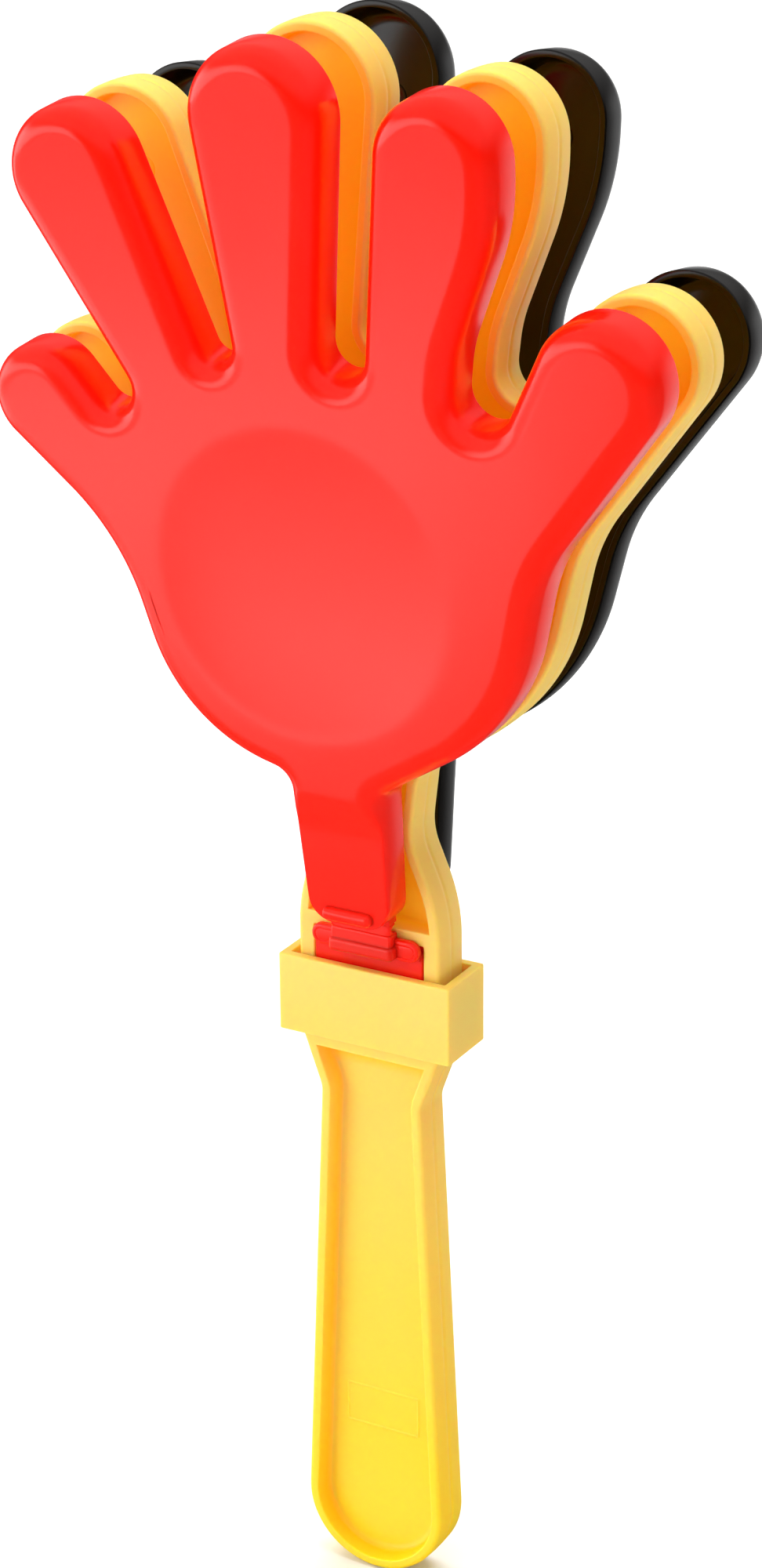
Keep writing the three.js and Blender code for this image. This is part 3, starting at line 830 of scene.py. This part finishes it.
# Yellow polypropylene from a satin mould: a warm, milky yellow with soft broad highlights. Its
# colour is painted paler on the hand than on the grip, a painted sheen, and its hollows get a
# painted orange glow.
yellow_plastic = moulded_plastic(
    "moulded_yellow_polypropylene",
    deep=0xF8D41C,
    pale=0xF8CF64,
    fade_mm=(-40, 60),
    roughness=0.36,
    gloss=0.8,
    subsurface=0.8,
    bleed=(3, 1.2, 0.2),
    glow=0xFFBC00,
)
middle_hand.data.materials.append(yellow_plastic)
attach(middle_hand, "handle")
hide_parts("middle_hand_handle")

# Locking collar. A separate ring of the same yellow polypropylene, moulded to slide along the
# handle and hold both tabs in their pockets. Its corners are almost sharp.

COLLAR_HEIGHT, COLLAR_TOP = 14.3, STOP_BOTTOM - 3.0
COLLAR_HALF_WIDTH, COLLAR_HALF_DEPTH, COLLAR_WALL = 16.65, 6.375, 1.6


def collar_wall(inset, corner, sense, edge, steps):
    """Rings over one wall of the collar: the outer one (sense 1) or the bore's (sense -1).

    A profile with both ends rounded over is carried along a rounded rectangle that lies the
    inset inside the collar's outside. Its heights then change places with its depths.
    """
    half_width, half_depth = (
        size - inset - corner for size in (COLLAR_HALF_WIDTH, COLLAR_HALF_DEPTH)
    )
    corners = [(-1, -1), (1, -1), (1, 1), (-1, 1)]
    path = outline([(x * half_width, y * half_depth, corner) for x, y in corners], 0.5)
    out, half = sense * FAR, sense * COLLAR_HEIGHT / 2
    profile = [
        *rounded((out, half), (0, half), (0, -half), edge, steps),
        *rounded((0, half), (0, -half), (out, -half), edge, steps),
    ]
    rings = carried(path, profile)[..., [0, 2, 1]]
    rings[..., 2] += COLLAR_TOP - COLLAR_HEIGHT / 2
    return rings


collar_outside = collar_wall(0, 0.35, 1, 0.3, 4)
collar_bore = collar_wall(COLLAR_WALL, 0.3, -1, 0.15, 3)
collar_skin = Skin()
collar_skin.add_rings(collar_outside)
collar_skin.add_rings(collar_bore)
collar_skin.add_flat([collar_outside[0], collar_bore[-1]])
collar_skin.add_flat([collar_outside[-1], collar_bore[0]])
collar = sew("collar", collar_skin)
collar.data.materials.append(yellow_plastic)
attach(collar, "collar")
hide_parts("locking_collar")

# Studio. A pale paper floor that the clapper stands on, with a lit sweep far behind it, a bright
# card and a pale surround for the gloss, and four soft lights.

FLOOR_LEVEL = -52.55 * MM


def studio_sheet(name, points, faces, material):
    """A sheet of the studio from its points in metres."""
    mesh = bpy.data.meshes.new(name)
    mesh.from_pydata(points, [], faces)
    mesh.materials.append(material)
    sheet = bpy.data.objects.new(name, mesh)
    bpy.context.scene.collection.objects.link(sheet)
    return sheet


# Matt pale paper: an almost white floor with a soft shadow under the clapper.
paper, tree, _ = new_material("pale_studio_floor")
matt = {"Base Color": linear(0xF4F3F1), "Roughness": 0.9}
shader = add_node(tree, "ShaderNodeBsdfPrincipled", matt)
add_node(tree, "ShaderNodeOutputMaterial", {"Surface": shader.outputs["BSDF"]})
floor_corners = [(x, y, FLOOR_LEVEL) for x, y in ((-6, -6), (6, -6), (6, 6), (-6, 6))]
floor = studio_sheet("floor", floor_corners, [(0, 1, 2, 3)], paper)
floor.visible_glossy = False

# Lit paper sweep: far off, the floor turns into an even pale ground that goes up all round. It
# is clear at the inside, and only the camera sees it.
sweep_glow, tree, place = new_material("lit_paper_sweep")
flat = add_node(tree, "ShaderNodeVectorMath", {0: place, 1: (1, 1, 0)}, operation="MULTIPLY")
feed = {0: flat.outputs["Vector"]}
reach = add_node(tree, "ShaderNodeVectorMath", feed, operation="LENGTH")
steps = {"Value": reach.outputs["Value"], 1: 1.3, 2: 2.4}
share = add_node(tree, "ShaderNodeMapRange", steps, interpolation_type="SMOOTHSTEP")
clear = add_node(tree, "ShaderNodeBsdfTransparent").outputs["BSDF"]
lit = add_node(tree, "ShaderNodeEmission", {"Strength": 1.05}).outputs["Emission"]
shader = add_node(tree, "ShaderNodeMixShader", {0: share.outputs["Result"], 1: clear, 2: lit})
add_node(tree, "ShaderNodeOutputMaterial", {"Surface": shader.outputs["Shader"]})

# A profile (radius, height) in metres, turned about the upright line through the origin.
sweep_profile = np.array([(1.2, 0.0), (2.0, 0.0), (3.0, 0.0), (5.8, 0.0), (5.9, 0.1), (5.9, 9.0)])
sweep_radius, sweep_height = sweep_profile[:, :1], sweep_profile[:, 1:]
turn_angle = math.tau * np.arange(96) / 96
sweep_x, sweep_y = sweep_radius * np.cos(turn_angle), sweep_radius * np.sin(turn_angle)
sweep_z = np.broadcast_to(sweep_height + FLOOR_LEVEL + 2 * MM, sweep_x.shape)
sweep_skin = Skin()
sweep_skin.add_rings(np.stack([sweep_x, sweep_y, sweep_z], -1))
sweep_points = np.concatenate(sweep_skin.points).tolist()
sweep = studio_sheet("sweep", sweep_points, sweep_skin.faces, sweep_glow)
sweep.visible_diffuse = sweep.visible_glossy = sweep.visible_shadow = False
sweep.visible_transmission = sweep.visible_volume_scatter = False


def shaded_off(tree, toward, strength, edges):
    """A strength times a smooth step for each edge (direction, start, end).

    The step goes from 0 to 1 as the dot product of toward and the direction goes from start to
    end.
    """
    for direction, start, end in edges:
        feed = {0: toward, 1: direction}
        along = add_node(tree, "ShaderNodeVectorMath", feed, operation="DOT_PRODUCT")
        steps = {"Value": along.outputs["Value"], 1: start, 2: end}
        share = add_node(tree, "ShaderNodeMapRange", steps, interpolation_type="SMOOTHSTEP")
        feed = {0: strength, 1: share.outputs["Result"]}
        strength = add_node(tree, "ShaderNodeMath", feed, operation="MULTIPLY").outputs[0]
    return strength


# Bright card on the floor at the front left. Only reflections see it: it is what the faces
# mirror. It is darkest near the clapper and falls off again beyond the middle.
FRONT_LEFT = [((-0.94, 0.342, 0), -0.06, 0.12), ((-0.259, -0.966, 0), -0.1, 0.25)]
card_glow, tree, place = new_material("bright_card")
flat = add_node(tree, "ShaderNodeVectorMath", {0: place, 1: (1, 1, 0)}, operation="MULTIPLY")
feed = {0: flat.outputs["Vector"]}
reach = add_node(tree, "ShaderNodeVectorMath", feed, operation="LENGTH")
toward = add_node(tree, "ShaderNodeVectorMath", feed, operation="NORMALIZE").outputs["Vector"]
strength = 1.8
for start, end, near, beyond in ((0.2, 0.5, 0.02, 1.0), (0.54, 0.72, 1.0, 0.42)):
    steps = {"Value": reach.outputs["Value"], 1: start, 2: end, 3: near, 4: beyond}
    share = add_node(tree, "ShaderNodeMapRange", steps, interpolation_type="SMOOTHSTEP")
    feed = {0: strength, 1: share.outputs["Result"]}
    strength = add_node(tree, "ShaderNodeMath", feed, operation="MULTIPLY").outputs[0]
feed = {"Strength": shaded_off(tree, toward, strength, FRONT_LEFT)}
shader = add_node(tree, "ShaderNodeEmission", feed)
add_node(tree, "ShaderNodeOutputMaterial", {"Surface": shader.outputs["Emission"]})
card_corners = [(-2, -2), (0.3, -2), (0.3, -0.03), (-2, -0.03)]
card_points = [(x, y, FLOOR_LEVEL + MM) for x, y in card_corners]
card = studio_sheet("card", card_points, [(0, 1, 2, 3)], card_glow)
card.visible_camera = card.visible_diffuse = card.visible_shadow = False
card.visible_transmission = card.visible_volume_scatter = False

# What the glossy plastic reflects besides: a dim surround, paler overhead, with a wide soft
# panel low at the front left and a pale backdrop behind. Each is a strength with its edges.
SURROUND = 0.05
PANEL = (2.2, [*FRONT_LEFT, ((0, 0, 1), -0.75, -0.2), ((0, 0, -1), -0.35, -0.12)])
OVERHEAD = (0.4, [((0, 0, 1), 0.1, 0.6)])
BACKDROP = (0.75, [((0, 1, 0), 0.75, 0.95), ((0, 0, -1), -0.3, 0.0)])
world = bpy.data.worlds.new("surround")
bpy.context.scene.world = world
world.use_nodes = True
tree = world.node_tree
tree.nodes.clear()
toward = add_node(tree, "ShaderNodeTexCoord").outputs["Object"]
total = SURROUND
for strength, edges in (PANEL, OVERHEAD, BACKDROP):
    feed = {0: total, 1: shaded_off(tree, toward, strength, edges)}
    total = add_node(tree, "ShaderNodeMath", feed, operation="ADD").outputs[0]
sky = add_node(tree, "ShaderNodeBackground", {"Color": (1, 1, 1, 1), "Strength": total})
add_node(tree, "ShaderNodeOutputWorld", {"Surface": sky.outputs["Background"]})


def add_softbox(name, place, aim, size, power):
    """A rectangular soft light that points at aim. Size is its width and height in metres."""
    data = bpy.data.lights.new(name, "AREA")
    data.shape = "RECTANGLE"
    data.size, data.size_y = size
    data.energy = power
    lamp = bpy.data.objects.new(name, data)
    bpy.context.scene.collection.objects.link(lamp)
    lamp.location = place
    lamp.rotation_mode = "QUATERNION"
    lamp.rotation_quaternion = (Vector(aim) - Vector(place)).to_track_quat("-Z", "Y")
    lamp.visible_glossy = False


# A key light at the left, a low fill at the front, a large one high over the floor behind,
# whose light comes back up from the floor, and a weak one at the right.
add_softbox("key_left", (-0.9, -1.2, 0.9), (0, 0, 0.1), (1.0, 1.0), 13)
add_softbox("fill_low", (-0.5, -1.3, 0.12), (0, 0, 0.08), (1.2, 0.3), 3.2)
add_softbox("top", (-0.3, 0.6, 1.8), (-0.3, 0.6, 0), (2.4, 2.4), 58)
add_softbox("fill_right", (1.3, -0.3, 0.8), (0, 0, 0.1), (1.0, 1.0), 2.8)

# Plain screen colours, without a film's curve.
bpy.context.scene.view_settings.view_transform = "Standard"
